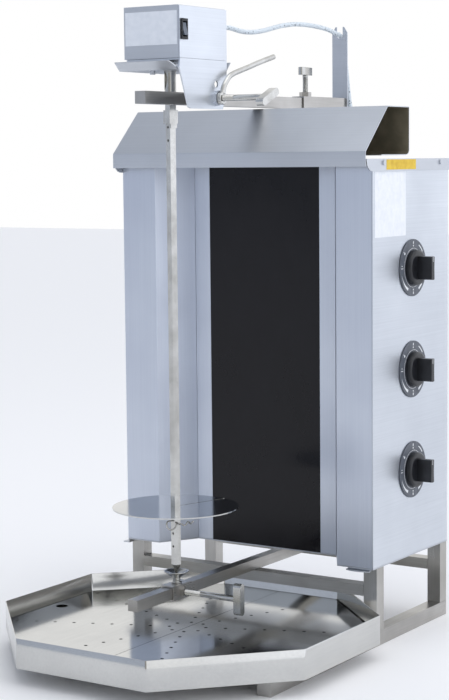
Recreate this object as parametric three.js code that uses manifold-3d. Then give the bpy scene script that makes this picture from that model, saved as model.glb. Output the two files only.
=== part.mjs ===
// Vertical electric kebab grill: a heated back wall with three knobs, a motor-driven upright
// spit on a telescopic arm, and an eight-sided drip tray under it.
// Millimetres. +X is the knob side, +Y is the back, +Z is up. The origin is on the ground,
// in the middle of the outline.

import * as THREE from "three";
import { mergeVertices } from "three/addons/utils/BufferGeometryUtils.js";
import Module from "manifold-3d";

const wasm = await Module();
wasm.setup();

// ---------------------------------------------------------------- driving dimensions

const GAP = 0.3; // clearance between pieces that touch
const SHEET = 1.5; // stainless sheet
const TUBE = 20; // square tube of the base frame and of the sliding sleeves
const FRAME_HALF = 203; // half the width of frame and heater
const RAIL_FRONT = -219;
const RAIL_BACK = 266;
const POST_FRONT_Y = 55; // front face of the front posts
const POST_BACK_Y = 246; // front face of the rear posts
const CROSS_LOW = 67.5;
const CROSS_HIGH = 82.5;

const BODY_LOW = 107;
const BODY_HIGH = 655;
const BODY_BACK = 268;
const WING_FRONT = 45; // front faces of the two wings
const WING_INNER = 147.5; // where a wing's front face folds inwards
const GLASS_Y = 99; // front face of the glass
const RECESS_HALF = 115.5; // half the width of the flat recess
const GLASS_HALF = 90;
const GLASS_THICK = 4;
const LID_HIGH = 657;
const LID_FLANGE = 16.5;
const LID_FRONT = 25; // how far forward the lid's sides reach beside the hood's lip

const KNOB_Y = 158;
const KNOB_HEIGHTS = [228, 368, 508];
const BEZEL_RADIUS = 39.25;
const KNOB_END_X = 235;

const SPIT_Y = -126; // the turning axis is at x = 0 and this depth
const SPIT_SIDE = 9;
const SHAFT_SIDE = 10; // the square end of the drive shaft
const SPIT_TURN = THREE.MathUtils.degToRad(-18); // how the square bar stands at rest
const SPIT_TIP = 111.5;
const SPIT_TOP = 710;
const COUPLING_SIDE = 13.4;
const COUPLING_LOW = 704.5;
const COUPLING_HIGH = 722;
const CLIP_HEIGHT = 185;
const DISC_LOW = 202;
const DISC_THICK = 1.5;
const DISC_RADIUS = 83.5;

const ARM_IN = 15; // square inner tubes, upper and lower
const LOWER_ARM_FRONT = -225;
const LOWER_ARM_MID = 90; // height of its centre line
const UPPER_ARM_MID = 737;
const INNER_SIDE = 16; // the sliding part of the upper arm
const INNER_FRONT = -193;
const INNER_BACK = 237;
const OUTER_FRONT = 195;
const TOP_SCREW_Y = 216;
const UPRIGHT_FRONT = 317.3;
const UPRIGHT_BACK = 338.5;
const UPRIGHT_HALF = 12.7;
const UPRIGHT_LOW = 140;
const UPRIGHT_TOP = 852;
const NOTCH_Z = 839; // where the cable lies in the slot at the top of the upright
const NOTCH_HALF = 5;

const MOTOR_FRONT = -166;
const MOTOR_BACK = -58;
const MOTOR_HALF = 43;
const MOTOR_LOW = 786;
const MOTOR_TOP = 852;
const SHIELD_Z = 771.5;
const PIVOT_Y = -83.5; // axis of the bracket's clamp screw and of the lever
const CABLE_ENTRY = [56, 560]; // x and z of the motor cable's gland in the back
const MAINS_ENTRY = [120, 150]; // x and z of the mains lead's gland

const SCREW_RADIUS = 4;
const T_LENGTH = 42; // the flat bar across the end of each clamp screw
const T_SIDE = 10;
const CABLE_RADIUS = 3.25;

// ---------------------------------------------------------------- colours

const metal = (hex, roughness) => ({ color: hex, roughness, metalness: 1 });
const plain = (hex, roughness) => ({ color: hex, roughness, metalness: 0 });
const FINISH = {
  steel: metal("#c3c6cb", 0.35),
  tube: metal("#b7b8b8", 0.3),
  bright: metal("#d4d7db", 0.15),
  glass: plain("#232227", 0.08),
  black: plain("#191b1f", 0.4),
  bezel: plain("#545962", 0.5),
  heater: plain("#8f8a80", 0.9),
  board: plain("#d8d3c6", 0.95),
  motor: metal("#8b8d90", 0.5),
  cable: plain("#dfe9f0", 0.8),
};

// ---------------------------------------------------------------- solids

// A closed geometry as a solid that can be cut and joined.
function toSolid(geometry) {
  const bare = geometry.clone();
  bare.deleteAttribute("normal");
  bare.deleteAttribute("uv");
  const merged = mergeVertices(bare, 1e-4);
  const vertProperties = new Float32Array(merged.attributes.position.array);
  const triVerts = new Uint32Array(merged.index.array);
  return new wasm.Manifold(new wasm.Mesh({ numProp: 3, vertProperties, triVerts }));
}

function toGeometry(solid) {
  const mesh = solid.getMesh();
  const geometry = new THREE.BufferGeometry();
  geometry.setAttribute("position", new THREE.BufferAttribute(new Float32Array(mesh.vertProperties), 3));
  geometry.setIndex(new THREE.BufferAttribute(new Uint32Array(mesh.triVerts), 1));
  geometry.computeVertexNormals();
  return geometry;
}

// A box from its low and high corners.
function block(x0, x1, y0, y1, z0, z1) {
  const geometry = new THREE.BoxGeometry(x1 - x0, y1 - y0, z1 - z0);
  return toSolid(geometry.translate((x0 + x1) / 2, (y0 + y1) / 2, (z0 + z1) / 2));
}

// A cylinder along an axis letter, from its start point.
function rod(axis, x, y, z, length, radius, sides = 16) {
  const geometry = new THREE.CylinderGeometry(radius, radius, length, sides);
  geometry.translate(0, length / 2, 0);
  if (axis === "x") geometry.rotateZ(-Math.PI / 2);
  if (axis === "z") geometry.rotateX(Math.PI / 2);
  return toSolid(geometry.translate(x, y, z));
}

// A shape drawn in plan, raised from one height to another.
function raised(shape, z0, z1, curveSegments = 6) {
  const geometry = new THREE.ExtrudeGeometry(shape, { depth: z1 - z0, bevelEnabled: false, curveSegments });
  return toSolid(geometry.translate(0, 0, z0));
}

// A shape drawn as (y, z), swept along X from x0 to x1.
function acrossX(shape, x0, x1, curveSegments = 6) {
  const geometry = new THREE.ExtrudeGeometry(shape, { depth: x1 - x0, bevelEnabled: false, curveSegments });
  geometry.rotateX(Math.PI / 2).rotateZ(Math.PI / 2);
  return toSolid(geometry.translate(x0, 0, 0));
}

// A round section of few sides swept along points.
function wire(points, radius, steps, sides = 8) {
  const section = new THREE.Shape();
  for (let i = 0; i < sides; i += 1) {
    const a = (i / sides) * 2 * Math.PI;
    const go = i === 0 ? "moveTo" : "lineTo";
    section[go](radius * Math.cos(a), radius * Math.sin(a));
  }
  const path = new THREE.CatmullRomCurve3(points.map((p) => new THREE.Vector3(...p)), false, "centripetal");
  const geometry = new THREE.ExtrudeGeometry(section, { extrudePath: path, steps, bevelEnabled: false });
  return toSolid(geometry);
}

// A turned piece about the vertical through (x, y); the profile is (radius, height) pairs.
function turned(profile, x, y, sides = 32) {
  const geometry = new THREE.LatheGeometry(profile.map(([r, z]) => new THREE.Vector2(r, z)), sides);
  return toSolid(geometry.rotateX(Math.PI / 2).translate(x, y, 0));
}

function outline(points) {
  return new THREE.Shape(points.map(([a, b]) => new THREE.Vector2(a, b)));
}

// The outline of a folded sheet: the points of one face and the same points moved to its left.
function folded(points, thickness) {
  const face = points.map(([a, b]) => new THREE.Vector2(a, b));
  const other = face.map((p, i) => {
    const before = face[Math.max(i - 1, 0)];
    const after = face[Math.min(i + 1, face.length - 1)];
    const into = (i === 0 ? after.clone().sub(p) : p.clone().sub(before)).normalize();
    const out = (i === face.length - 1 ? p.clone().sub(before) : after.clone().sub(p)).normalize();
    const left = (d) => new THREE.Vector2(-d.y, d.x);
    const middle = left(into).add(left(out)).normalize();
    const reach = thickness / middle.dot(left(into));
    return p.clone().addScaledVector(middle, reach);
  });
  return new THREE.Shape([...face, ...other.reverse()]);
}

// A closed outline moved inwards by a distance; the points run anticlockwise.
function inset(points, distance) {
  const face = points.map(([a, b]) => new THREE.Vector2(a, b));
  const count = face.length;
  return face.map((p, i) => {
    const into = p.clone().sub(face[(i + count - 1) % count]).normalize();
    const out = face[(i + 1) % count].clone().sub(p).normalize();
    const left = (d) => new THREE.Vector2(-d.y, d.x);
    const middle = left(into).add(left(out)).normalize();
    const moved = p.clone().addScaledVector(middle, distance / middle.dot(left(into)));
    return [moved.x, moved.y];
  });
}

// A square tube along an axis letter. ends lists which ends are closed by a plate.
function squareTube(axis, from, to, middleA, middleB, side, wall, ends = []) {
  const half = side / 2;
  const bore = half - wall;
  const low = ends.includes("low") ? from + wall : from - 1;
  const high = ends.includes("high") ? to - wall : to + 1;
  const parts = {
    x: (h, a, b) => block(a, b, middleA - h, middleA + h, middleB - h, middleB + h),
    y: (h, a, b) => block(middleA - h, middleA + h, a, b, middleB - h, middleB + h),
    z: (h, a, b) => block(middleA - h, middleA + h, middleB - h, middleB + h, a, b),
  };
  return parts[axis](half, from, to).subtract(parts[axis](bore, low, high));
}

// A hexagon nut along an axis letter, with a plain hole.
function nut(axis, x, y, z, length, across, hole) {
  const corner = across / Math.sqrt(3);
  const bore = { x: [x - 1, y, z], y: [x, y - 1, z], z: [x, y, z - 1] }[axis];
  return rod(axis, x, y, z, length, corner, 6).subtract(rod(axis, ...bore, length + 2, hole));
}

const group = new THREE.Group();

// Adds one named mesh.
function add(name, solid, finish) {
  const mesh = new THREE.Mesh(toGeometry(solid), new THREE.MeshStandardMaterial(FINISH[finish]));
  mesh.name = name;
  group.add(mesh);
}

const SIDES = [
  ["left", -1],
  ["right", 1],
];

// ---------------------------------------------------------------- base frame

function baseFrame() {
  const middle = FRAME_HALF - TUBE / 2;
  const wall = 1.5;
  for (const [side, s] of SIDES) {
    add(`rail_${side}`, squareTube("y", RAIL_FRONT, RAIL_BACK, s * middle, TUBE / 2, TUBE, wall,
      ["low", "high"]).subtract(railDrain(s * middle)), "tube");
    for (const [end, y] of [["front", POST_FRONT_Y], ["rear", POST_BACK_Y]]) {
      add(`post_${end}_${side}`, squareTube("z", TUBE + GAP, BODY_LOW - GAP, s * middle, y + TUBE / 2,
        TUBE, wall), "tube");
    }
  }
  const reach = FRAME_HALF - TUBE - GAP;
  for (const [end, y] of [["front", POST_FRONT_Y], ["rear", POST_BACK_Y]]) {
    const outer = block(-reach, reach, y, y + TUBE, CROSS_LOW, CROSS_HIGH);
    const bore = block(-reach - 1, reach + 1, y + wall, y + TUBE - wall, CROSS_LOW + wall, CROSS_HIGH - wall);
    add(`cross_tube_${end}`, outer.subtract(bore), "tube");
  }
}

// The small drain hole under each rail, which also vents the closed tube.
function railDrain(x) {
  return rod("z", x, RAIL_BACK - 30, -1, 5, 3, 12);
}

// ---------------------------------------------------------------- heater body

function heaterBody() {
  // Left wing: the front face, its fold back to the recess, and the left side wall.
  const leftWing = folded([
    [-RECESS_HALF - GAP, GLASS_Y + SHEET],
    [-RECESS_HALF - GAP, GLASS_Y],
    [-WING_INNER, WING_FRONT],
    [-FRAME_HALF, WING_FRONT],
    [-FRAME_HALF, BODY_BACK - GAP],
  ].reverse(), SHEET);
  add("wing_left", raised(leftWing, BODY_LOW + SHEET + GAP, BODY_HIGH - GAP), "steel");
  // Right wing: the front face and its fold only; the knob panel closes the side.
  const rightWing = folded([
    [RECESS_HALF + GAP, GLASS_Y + SHEET],
    [RECESS_HALF + GAP, GLASS_Y],
    [WING_INNER, WING_FRONT],
    [FRAME_HALF - SHEET - GAP, WING_FRONT],
  ], SHEET);
  add("wing_right", raised(rightWing, BODY_LOW + SHEET + GAP, BODY_HIGH - GAP), "steel");
  let panel = block(FRAME_HALF - SHEET, FRAME_HALF, WING_FRONT, BODY_BACK - GAP,
    BODY_LOW + SHEET + GAP, BODY_HIGH - GAP);
  for (const z of KNOB_HEIGHTS) {
    panel = panel.subtract(rod("x", FRAME_HALF - 5, KNOB_Y, z, 10, 6));
  }
  add("knob_panel", panel, "steel");
  baseAndBack();
  for (const [side, s] of SIDES) {
    const xs = [s * (GLASS_HALF + GAP), s * (RECESS_HALF - GAP)].sort((a, b) => a - b);
    add(`glass_trim_${side}`, block(...xs, GLASS_Y, GLASS_Y + SHEET, BODY_LOW + SHEET + GAP,
      BODY_HIGH - GAP), "steel");
  }
  add("glass_panel", block(-GLASS_HALF, GLASS_HALF, GLASS_Y, GLASS_Y + GLASS_THICK,
    BODY_LOW + SHEET + GAP, BODY_HIGH - GAP), "glass");
  heaters();
  lid();
}

// Floor with small drip lips in front, and the back with its air slots.
function baseAndBack() {
  const plan = outline([
    [-FRAME_HALF, WING_FRONT],
    [-WING_INNER, WING_FRONT],
    [-RECESS_HALF, GLASS_Y],
    [RECESS_HALF, GLASS_Y],
    [WING_INNER, WING_FRONT],
    [FRAME_HALF, WING_FRONT],
    [FRAME_HALF, BODY_BACK],
    [-FRAME_HALF, BODY_BACK],
  ]);
  let base = raised(plan, BODY_LOW, BODY_LOW + SHEET);
  const lipLow = BODY_LOW - 3.5;
  const scoop = new THREE.Shape();
  scoop.moveTo(162, WING_FRONT - 1);
  scoop.quadraticCurveTo(175, WING_FRONT - 9, 197, WING_FRONT - 1);
  scoop.lineTo(197, WING_FRONT + 6);
  scoop.lineTo(162, WING_FRONT + 6);
  base = base.add(raised(scoop, lipLow, lipLow + SHEET));
  base = base.add(block(162, 197, WING_FRONT + 4.5, WING_FRONT + 6, lipLow, BODY_LOW + 1));
  // A small flange hangs beside the left front post.
  const flange = BODY_LOW - 5.5;
  const postSide = POST_FRONT_Y - GAP;
  base = base.add(block(-FRAME_HALF, -FRAME_HALF + SHEET, WING_FRONT, postSide, flange, BODY_LOW + 1));
  base = base.add(block(-FRAME_HALF - 9, -FRAME_HALF + 1, WING_FRONT, postSide, flange, flange + SHEET));
  base = base.add(block(-FRAME_HALF - 9, -FRAME_HALF - GAP, WING_FRONT, WING_FRONT + 34, flange, flange + SHEET));
  for (const x of [-160, -80, 80, 160]) {
    for (let y = 130; y < 240; y += 22) {
      base = base.subtract(block(x - 22, x + 22, y, y + 5, BODY_LOW - 1, BODY_LOW + 3));
    }
  }
  add("base_panel", base, "steel");
  let back = block(-FRAME_HALF + SHEET + GAP, FRAME_HALF - SHEET - GAP, BODY_BACK - SHEET, BODY_BACK,
    BODY_LOW + SHEET + GAP, BODY_HIGH - GAP);
  for (const x of [-150, -90, 90, 150]) {
    for (let i = 0; i < 6; i += 1) {
      const z = 560 + i * 13;
      back = back.subtract(block(x - 22, x + 22, BODY_BACK - 4, BODY_BACK + 4, z, z + 5));
    }
  }
  back = back.subtract(rod("y", CABLE_ENTRY[0], BODY_BACK - 5, CABLE_ENTRY[1], 10, 6.5));
  back = back.subtract(rod("y", MAINS_ENTRY[0], BODY_BACK - 5, MAINS_ENTRY[1], 10, 8.5));
  add("back_panel", back, "steel");
}

// Three flat radiant heaters, one over the other, in front of an insulation board.
function heaters() {
  const front = GLASS_Y + GLASS_THICK + 6;
  for (let i = 0; i < 3; i += 1) {
    const low = 124 + i * 176;
    let tray = block(-82, 82, front, front + 22, low, low + 164);
    tray = tray.subtract(block(-77, 77, front - 1, front + 12, low + 5, low + 159));
    for (let k = 0; k < 7; k += 1) {
      const z = low + 14 + k * 21;
      tray = tray.add(block(-77.5, 77.5, front + 4, front + 12.5, z, z + 9));
    }
    add(`radiant_heater_${i + 1}`, tray, "heater");
  }
  add("insulation_board", block(-88, 88, front + 24, front + 46, 118, 646), "board");
  for (let i = 0; i < 3; i += 1) {
    const z = KNOB_HEIGHTS[i];
    const inner = FRAME_HALF - SHEET - GAP;
    let regulator = block(inner - 38, inner, KNOB_Y - 22, KNOB_Y + 22, z - 24, z + 24);
    regulator = regulator.add(rod("x", inner - 1, KNOB_Y, z, 13, 3));
    add(`heat_regulator_${i + 1}`, regulator, "black");
  }
}

// Top cover with folded sides that lap over the walls, held by screws on the knob side.
function lid() {
  const x = FRAME_HALF + GAP;
  const profile = folded([
    [x + SHEET, LID_HIGH - LID_FLANGE],
    [x + SHEET, LID_HIGH],
    [-x - SHEET, LID_HIGH],
    [-x - SHEET, LID_HIGH - LID_FLANGE],
  ], SHEET);
  const geometry = new THREE.ExtrudeGeometry(profile, { depth: BODY_BACK - WING_FRONT + 1, bevelEnabled: false });
  geometry.rotateX(Math.PI / 2).translate(0, BODY_BACK + 1, 0);
  let cover = toSolid(geometry);
  // Each side reaches forward past the wings, with a rounded lower corner.
  const ear = new THREE.Shape();
  ear.moveTo(WING_FRONT + 1, LID_HIGH);
  ear.lineTo(LID_FRONT, LID_HIGH);
  ear.absarc(LID_FRONT + LID_FLANGE, LID_HIGH, LID_FLANGE, Math.PI, 1.5 * Math.PI, false);
  ear.lineTo(WING_FRONT + 1, LID_HIGH - LID_FLANGE);
  for (const s of [-1, 1]) {
    const outer = s * (x + SHEET);
    const [a, b] = [s * x, outer].sort((m, n) => m - n);
    const [c, d] = [s * (x - 14), outer].sort((m, n) => m - n);
    cover = cover.add(acrossX(ear, a, b));
    cover = cover.add(block(c, d, LID_FRONT, WING_FRONT + 1, LID_HIGH - SHEET, LID_HIGH));
    for (const y of [72, 239.5]) {
      const start = s > 0 ? outer - 0.5 : outer - 2;
      cover = cover.add(rod("x", start, y, LID_HIGH - 5, 2.5, 3.7, 12));
    }
  }
  add("lid", cover, "steel");
}

// Folded hood that throws the hot air forwards: open at both ends, standing on the lid.
function hood() {
  const profile = folded([
    [67, LID_HIGH + 4.5],
    [138, LID_HIGH + 4.5],
    [144, LID_HIGH + 6],
    [147, LID_HIGH + 10],
    [147, 727],
    [85, 727],
    [23, 667],
    [23, 647],
  ], 1.2);
  let sheet = acrossX(profile, -204, 204);
  for (const x of [-120, 120]) {
    sheet = sheet.add(block(x - 10, x + 10, 80, 130, LID_HIGH + GAP, LID_HIGH + 5));
  }
  add("hood", sheet, "steel");
}

// ---------------------------------------------------------------- knobs

function knobs() {
  KNOB_HEIGHTS.forEach((z, i) => {
    const face = FRAME_HALF + GAP;
    const plate = rod("x", face, KNOB_Y, z, 1.5, BEZEL_RADIUS, 40);
    add(`knob_bezel_${i + 1}`, plate.subtract(rod("x", face - 1, KNOB_Y, z, 4, 6)), "bezel");
    const base = face + 1.5 + GAP;
    const turn = rod("x", base, KNOB_Y, z, 9, 24.5, 32);
    const grip = new THREE.Shape();
    grip.moveTo(-4, -15.5);
    grip.lineTo(4, -15.5);
    grip.lineTo(4, 15.5);
    grip.lineTo(-4, 15.5);
    const bar = new THREE.ExtrudeGeometry(grip, {
      depth: KNOB_END_X - base - 9,
      bevelEnabled: true,
      bevelSize: 1.2,
      bevelThickness: 2,
      bevelOffset: -1.2,
      bevelSegments: 2,
    });
    bar.rotateX(Math.PI / 2).rotateZ(Math.PI / 2).translate(base + 7, KNOB_Y, z);
    const shaftHole = rod("x", base - 1, KNOB_Y, z, 13, 3 + GAP);
    add(`knob_${i + 1}`, turn.add(toSolid(bar)).subtract(shaftHole), "black");
  });
}

// ---------------------------------------------------------------- upright and upper arm

function upright() {
  // An angle of sheet, with a slot in its top for the cable.
  const angle = folded([
    [UPRIGHT_HALF, UPRIGHT_FRONT],
    [-UPRIGHT_HALF, UPRIGHT_FRONT],
    [-UPRIGHT_HALF, UPRIGHT_BACK],
  ].reverse(), SHEET);
  let post = raised(angle, UPRIGHT_LOW, UPRIGHT_TOP).subtract(notch());
  for (const z of [170, 380, 600]) {
    post = post.add(block(-2, 2, BODY_BACK + GAP, UPRIGHT_FRONT + 0.5, z, z + 30));
    post = post.add(block(-12, 12, BODY_BACK + GAP, BODY_BACK + 2.3, z, z + 30));
  }
  add("upright", post, "steel");
  const top = UPPER_ARM_MID + TUBE / 2;
  const tube = squareTube("y", OUTER_FRONT, UPRIGHT_FRONT - GAP, 0, UPPER_ARM_MID, TUBE, 1.6);
  const screwHole = rod("z", 0, TOP_SCREW_Y, top - 5, 10, SCREW_RADIUS + GAP);
  const welded = nut("z", 0, TOP_SCREW_Y, top - 0.5, 7, 15, SCREW_RADIUS + GAP);
  add("upper_tube", tube.subtract(screwHole).add(welded), "tube");
}

// The slot for the cable and the two cut corners at the top of the upright.
function notch() {
  const low = NOTCH_Z - CABLE_RADIUS - 2 * GAP;
  const slot = new THREE.Shape();
  slot.moveTo(-NOTCH_HALF, UPRIGHT_TOP + 2);
  slot.lineTo(-NOTCH_HALF, NOTCH_Z);
  slot.quadraticCurveTo(-NOTCH_HALF, low, 0, low);
  slot.quadraticCurveTo(NOTCH_HALF, low, NOTCH_HALF, NOTCH_Z);
  slot.lineTo(NOTCH_HALF, UPRIGHT_TOP + 2);
  const outer = UPRIGHT_HALF + 1;
  const right = outline([[7, UPRIGHT_TOP + 0.1], [outer, UPRIGHT_TOP - 10], [outer, UPRIGHT_TOP + 2], [7, UPRIGHT_TOP + 2]]);
  const left = outline([[-7, UPRIGHT_TOP + 0.1], [-7, UPRIGHT_TOP + 2], [-outer, UPRIGHT_TOP + 2], [-outer, UPRIGHT_TOP - 10]]);
  const tools = [slot, right, left].map((shape) => {
    const geometry = new THREE.ExtrudeGeometry(shape, { depth: 40, bevelEnabled: false, curveSegments: 6 });
    return toSolid(geometry.rotateX(Math.PI / 2).translate(0, UPRIGHT_FRONT + 30, 0));
  });
  return tools[0].add(tools[1]).add(tools[2]);
}

function upperArm() {
  const z = UPPER_ARM_MID;
  let tube = squareTube("y", INNER_FRONT, INNER_BACK, 0, z, INNER_SIDE, 1.5, ["low"]);
  tube = tube.subtract(rod("z", 0, SPIT_Y, z - 12, 24, 7.2));
  // The block welded to the arm's side carries the motor's bracket.
  const to = MOTOR_HALF - BRACKET - GAP;
  const body = block(INNER_SIDE / 2 - 0.5, to, PIVOT_Y - 13, PIVOT_Y + 13, z - 8, z + 8);
  add("upper_arm", tube.add(body.subtract(rod("x", to - 20, PIVOT_Y, z, 30, SCREW_RADIUS + GAP))), "tube");
}

// ---------------------------------------------------------------- clamp screws

// A clamp screw that points along -X from its bar: a round screw with a flat bar across its end.
function clampScrew(length, turn) {
  const straight = T_LENGTH / 2 - T_SIDE / 2;
  const bar = new THREE.Shape();
  bar.absarc(0, straight, T_SIDE / 2, 0, Math.PI, false);
  bar.absarc(0, -straight, T_SIDE / 2, Math.PI, 2 * Math.PI, false);
  const across = acrossX(bar, length - 1, length + T_SIDE, 5);
  const screw = rod("x", 0, 0, 0, length, SCREW_RADIUS);
  return moved(screw.add(across), new THREE.Matrix4().makeRotationX(turn));
}

function moved(solid, matrix) {
  return toSolid(toGeometry(solid).applyMatrix4(matrix));
}

function shifted(solid, x, y, z) {
  return moved(solid, new THREE.Matrix4().makeTranslation(x, y, z));
}

function clampScrews() {
  const deg = THREE.MathUtils.degToRad;
  // Top: stands on the outer tube and presses on the sliding arm.
  const up = moved(clampScrew(33.5, deg(102)), new THREE.Matrix4().makeRotationY(-Math.PI / 2));
  const tip = UPPER_ARM_MID + INNER_SIDE / 2 + GAP;
  add("arm_screw", shifted(up, 0, TOP_SCREW_Y, tip), "bright");
  // Middle: goes through the motor's bracket into the block on the arm.
  const inside = MOTOR_HALF - BRACKET - 12;
  add("bracket_screw", shifted(clampScrew(116 - inside, deg(-66)), inside, PIVOT_Y, UPPER_ARM_MID), "bright");
  // Bottom: holds the bearing's sleeve on the lower arm.
  const from = ARM_IN / 2 + GAP;
  add("bearing_screw", shifted(clampScrew(93.5 - from, 0), from, SPIT_Y, LOWER_ARM_MID), "bright");
}

// ---------------------------------------------------------------- motor unit

const BRACKET = 2; // thickness of the motor's bracket
const BRACKET_NUT = 5.5; // how far the nut on the bracket stands out

function motorUnit() {
  bracket();
  shield();
  const roof = MOTOR_TOP - SHEET;
  // Cover: front, top and back in one sheet, with the left side welded in.
  const profile = folded([
    [MOTOR_BACK, MOTOR_LOW],
    [MOTOR_BACK, MOTOR_TOP],
    [MOTOR_FRONT, MOTOR_TOP],
    [MOTOR_FRONT, MOTOR_LOW],
  ], SHEET);
  let cover = acrossX(profile, -MOTOR_HALF, MOTOR_HALF - SHEET - GAP);
  cover = cover.add(block(-MOTOR_HALF, -MOTOR_HALF + SHEET, MOTOR_FRONT + 1, MOTOR_BACK - 1, MOTOR_LOW, roof + 1));
  const gland = [MOTOR_BACK - 4, MOTOR_GLAND_Z];
  cover = cover.subtract(rod("y", 0, gland[0], gland[1], 8, 5));
  add("motor_cover", cover, "steel");
  let side = block(MOTOR_HALF - SHEET, MOTOR_HALF, MOTOR_FRONT, MOTOR_BACK, MOTOR_LOW, MOTOR_TOP - 1);
  const [sy, sz] = SWITCH;
  side = side.subtract(block(MOTOR_HALF - 5, MOTOR_HALF + 5, sy - 6, sy + 6, sz - 11, sz + 11));
  add("motor_side", side, "steel");
  switchPieces();
  // Gear motor: the gearbox over the drive shaft and the motor behind it.
  let gears = block(-34, 26, -156, -96, MOTOR_LOW + 1, MOTOR_LOW + 34);
  gears = gears.add(rod("y", 0, -96.5, MOTOR_LOW + 24, 34, 20));
  gears = gears.subtract(rod("z", 0, SPIT_Y, MOTOR_LOW - 1, 20, 4 + GAP));
  add("gear_motor", gears, "motor");
  cableBushing("motor_gland", 0, MOTOR_BACK, MOTOR_GLAND_Z, 4.7, -2.5, 9);
}

const MOTOR_GLAND_Z = 826;
const SWITCH = [-156.6, 822]; // y and z of the rocker switch
const ROCKER_HALF = 7.9;

// A ring-shaped bushing along Y through a wall whose outer face is at y.
function cableBushing(name, x, y, z, neck, from, to) {
  const hole = CABLE_RADIUS + GAP;
  let ring = rod("y", x, y + from, z, to - from, neck);
  ring = ring.add(rod("y", x, y + GAP, z, 3, neck + 2.5));
  add(name, ring.subtract(rod("y", x, y + from - 1, z, to - from + 2, hole)), "black");
}

// A plate under the motor with one cheek folded down at the knob side.
function bracket() {
  const top = MOTOR_LOW - GAP;
  const plate = block(-MOTOR_HALF + 2, MOTOR_HALF, MOTOR_FRONT + 2, MOTOR_BACK - 1, top - BRACKET, top);
  const low = UPPER_ARM_MID - 14;
  const cheek = outline([
    [MOTOR_FRONT + 0.5, top],
    [MOTOR_FRONT - 1.5, top - 11],
    [MOTOR_FRONT + 18, low + 1.5],
    [MOTOR_FRONT + 24, low],
    [MOTOR_BACK - 10, low],
    [MOTOR_BACK - 1, low + 30],
    [MOTOR_BACK, top],
  ].reverse());
  const z = UPPER_ARM_MID;
  let sheet = plate.add(acrossX(cheek, MOTOR_HALF - BRACKET, MOTOR_HALF));
  sheet = sheet.subtract(rod("x", MOTOR_HALF - 5, PIVOT_Y, z + 18, 10, 4.4));
  sheet = sheet.add(nut("x", MOTOR_HALF - 0.5, PIVOT_Y, z, BRACKET_NUT + 0.5, 17, SCREW_RADIUS + GAP));
  sheet = sheet.subtract(rod("x", MOTOR_HALF - 5, PIVOT_Y, z, 15, SCREW_RADIUS + GAP));
  sheet = sheet.subtract(rod("z", 0, SPIT_Y, top - 5, 10, 9));
  add("motor_bracket", sheet, "steel");
}

// The grease shield: a tray under the motor whose front and back lips lean outwards.
function shield() {
  const z = SHIELD_Z;
  const lip = 10.5;
  const profile = folded([
    [MOTOR_FRONT - 10, z + lip],
    [MOTOR_FRONT + 1, z],
    [MOTOR_BACK + 3, z],
    [MOTOR_BACK + 14, z + lip + 1.5],
  ], 1.2);
  let tray = acrossX(profile, -MOTOR_HALF - 9, MOTOR_HALF - BRACKET - 1);
  // The corner next to the cheek is cut away in a curve.
  const corner = new THREE.Shape();
  corner.moveTo(MOTOR_HALF - 17, MOTOR_FRONT - 12);
  corner.quadraticCurveTo(MOTOR_HALF - 6, MOTOR_FRONT - 8, MOTOR_HALF - 4, MOTOR_FRONT + 1);
  corner.lineTo(MOTOR_HALF + 5, MOTOR_FRONT + 1);
  corner.lineTo(MOTOR_HALF + 5, MOTOR_FRONT - 12);
  tray = tray.subtract(raised(corner, z - 1, z + lip + 2));
  tray = tray.subtract(rod("z", 0, SPIT_Y, z - 2, 6, 9));
  for (const y of [MOTOR_FRONT + 18, MOTOR_BACK - 4]) {
    tray = tray.add(rod("z", -12, y, z - 4.5, 5, 3.6, 16));
    tray = tray.add(rod("z", -12, y, z, MOTOR_LOW - BRACKET - 2 * GAP - z, 2.5, 12));
  }
  add("grease_shield", tray, "steel");
}

function switchPieces() {
  const [y, z] = SWITCH;
  const face = MOTOR_HALF + GAP;
  let rim = block(face, face + 1.8, y - 6.6, y + 6.6, z - 13, z + 13);
  rim = rim.add(block(MOTOR_HALF - 14, face + 1, y - 5.7, y + 5.7, z - 10.7, z + 10.7));
  rim = rim.subtract(block(MOTOR_HALF - 12.5, face + 3, y - 4.5, y + 4.5, z - 9.6, z + 9.6));
  add("switch_frame", rim, "black");
  // The rocker is a wedge with one end pressed in, turning about a level axis.
  const rocker = new THREE.Shape();
  rocker.moveTo(z - ROCKER_HALF, face - 5);
  rocker.lineTo(z + ROCKER_HALF, face - 5);
  rocker.lineTo(z + ROCKER_HALF, face + 0.6);
  rocker.quadraticCurveTo(z + 2, face + 1.2, z, face + 1.6);
  rocker.quadraticCurveTo(z - 4, face + 2.6, z - ROCKER_HALF, face + 4.2);
  const geometry = new THREE.ExtrudeGeometry(rocker, { depth: 8, bevelEnabled: false, curveSegments: 4 });
  // Drawn as (z, x) and laid so that its depth runs along Y.
  const turn = new THREE.Matrix4().set(0, 1, 0, 0, 0, 0, 1, y - 4, 1, 0, 0, 0, 0, 0, 0, 1);
  add("switch_rocker", toSolid(geometry.applyMatrix4(turn)), "black");
}

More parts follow.
